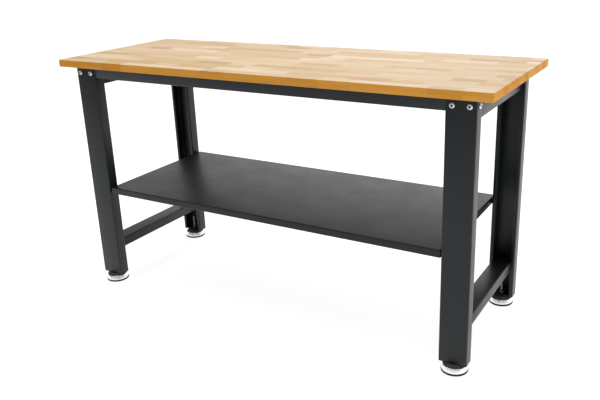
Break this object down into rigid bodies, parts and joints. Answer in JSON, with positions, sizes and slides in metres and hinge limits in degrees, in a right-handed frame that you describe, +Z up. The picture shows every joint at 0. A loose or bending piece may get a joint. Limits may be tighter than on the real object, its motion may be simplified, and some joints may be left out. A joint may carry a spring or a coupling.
{
  "type": "assembly table",
  "caption": "Workshop assembly table: laminated wooden top on folded steel channel legs, with rails, a steel shelf, low stretchers and screw-adjusted levelling feet.",
  "frame": {"origin": "on the floor under the middle of the top", "axes": "+X along the length of the top, +Y from the front to the back, +Z up"},
  "size_m": [1.65, 0.6, 0.9],
  "materials": {
    "laminated_wood": "satin lacquer over finger-jointed strips, darker amber edges",
    "powder_coat": "charcoal satin powder coat with a fine texture",
    "zinc": "bright zinc plate",
    "chrome": "bright plated pressed steel",
    "black_plastic": "black moulded plastic, satin",
    "rubber": "black matt rubber"
  },
  "bodies": {
    "frame": {"work_top": "laminated_wood", "shelf": "powder_coat", "rail_front": "powder_coat", "rail_rear": "powder_coat", "side_rail_left": "powder_coat", "stretcher_left": "powder_coat", "side_rail_right": "powder_coat", "stretcher_right": "powder_coat", "leg_front_left": "powder_coat", "foot_plate_front_left": "powder_coat", "weld_nut_front_left": "zinc", "web_bolt_front_left_inner": "zinc", "web_bolt_front_left_outer": "zinc", "flange_bolt_front_left": "zinc", "shelf_bolt_front_left": "zinc", "leg_front_right": "powder_coat", "foot_plate_front_right": "powder_coat", "weld_nut_front_right": "zinc", "web_bolt_front_right_inner": "zinc", "web_bolt_front_right_outer": "zinc", "flange_bolt_front_right": "zinc", "shelf_bolt_front_right": "zinc", "leg_rear_left": "powder_coat", "foot_plate_rear_left": "powder_coat", "weld_nut_rear_left": "zinc", "web_bolt_rear_left_inner": "zinc", "web_bolt_rear_left_outer": "zinc", "flange_bolt_rear_left": "zinc", "shelf_bolt_rear_left": "zinc", "leg_rear_right": "powder_coat", "foot_plate_rear_right": "powder_coat", "weld_nut_rear_right": "zinc", "web_bolt_rear_right_inner": "zinc", "web_bolt_rear_right_outer": "zinc", "flange_bolt_rear_right": "zinc", "shelf_bolt_rear_right": "zinc", "top_screw_front_left": "zinc", "top_screw_front_middle": "zinc", "top_screw_front_right": "zinc", "top_screw_rear_left": "zinc", "top_screw_rear_middle": "zinc", "top_screw_rear_right": "zinc", "top_screw_side_left": "zinc", "top_screw_side_right": "zinc"},
    "foot_front_left": {"dish_front_left": "chrome", "pad_front_left": "rubber"},
    "adjuster_front_left": {"stem_front_left": "zinc", "hub_front_left": "black_plastic"},
    "foot_front_right": {"dish_front_right": "chrome", "pad_front_right": "rubber"},
    "adjuster_front_right": {"stem_front_right": "zinc", "hub_front_right": "black_plastic"},
    "foot_rear_left": {"dish_rear_left": "chrome", "pad_rear_left": "rubber"},
    "adjuster_rear_left": {"stem_rear_left": "zinc", "hub_rear_left": "black_plastic"},
    "foot_rear_right": {"dish_rear_right": "chrome", "pad_rear_right": "rubber"},
    "adjuster_rear_right": {"stem_rear_right": "zinc", "hub_rear_right": "black_plastic"}
  },
  "joints": [
    {"name": "foot_front_left_travel", "type": "slide", "parent": "frame", "child": "foot_front_left", "axis": [0, 0, -1], "range_m": [0, 0.028]},
    {"name": "foot_front_left_turn", "type": "hinge", "parent": "foot_front_left", "child": "adjuster_front_left", "pos_m": [-0.725, -0.2445, 0.03], "axis": [0, 0, -1], "range_deg": [0, 5760]},
    {"name": "foot_front_right_travel", "type": "slide", "parent": "frame", "child": "foot_front_right", "axis": [0, 0, -1], "range_m": [0, 0.028]},
    {"name": "foot_front_right_turn", "type": "hinge", "parent": "foot_front_right", "child": "adjuster_front_right", "pos_m": [0.725, -0.2445, 0.03], "axis": [0, 0, -1], "range_deg": [0, 5760]},
    {"name": "foot_rear_left_travel", "type": "slide", "parent": "frame", "child": "foot_rear_left", "axis": [0, 0, -1], "range_m": [0, 0.028]},
    {"name": "foot_rear_left_turn", "type": "hinge", "parent": "foot_rear_left", "child": "adjuster_rear_left", "pos_m": [-0.725, 0.256, 0.03], "axis": [0, 0, -1], "range_deg": [0, 5760]},
    {"name": "foot_rear_right_travel", "type": "slide", "parent": "frame", "child": "foot_rear_right", "axis": [0, 0, -1], "range_m": [0, 0.028]},
    {"name": "foot_rear_right_turn", "type": "hinge", "parent": "foot_rear_right", "child": "adjuster_rear_right", "pos_m": [0.725, 0.256, 0.03], "axis": [0, 0, -1], "range_deg": [0, 5760]}
  ],
  "couplings": [
    {"joint": "foot_front_left_turn", "follows": "foot_front_left_travel", "rad_per_m": 3590.4},
    {"joint": "foot_front_right_turn", "follows": "foot_front_right_travel", "rad_per_m": 3590.4},
    {"joint": "foot_rear_left_turn", "follows": "foot_rear_left_travel", "rad_per_m": 3590.4},
    {"joint": "foot_rear_right_turn", "follows": "foot_rear_right_travel", "rad_per_m": 3590.4}
  ]
}
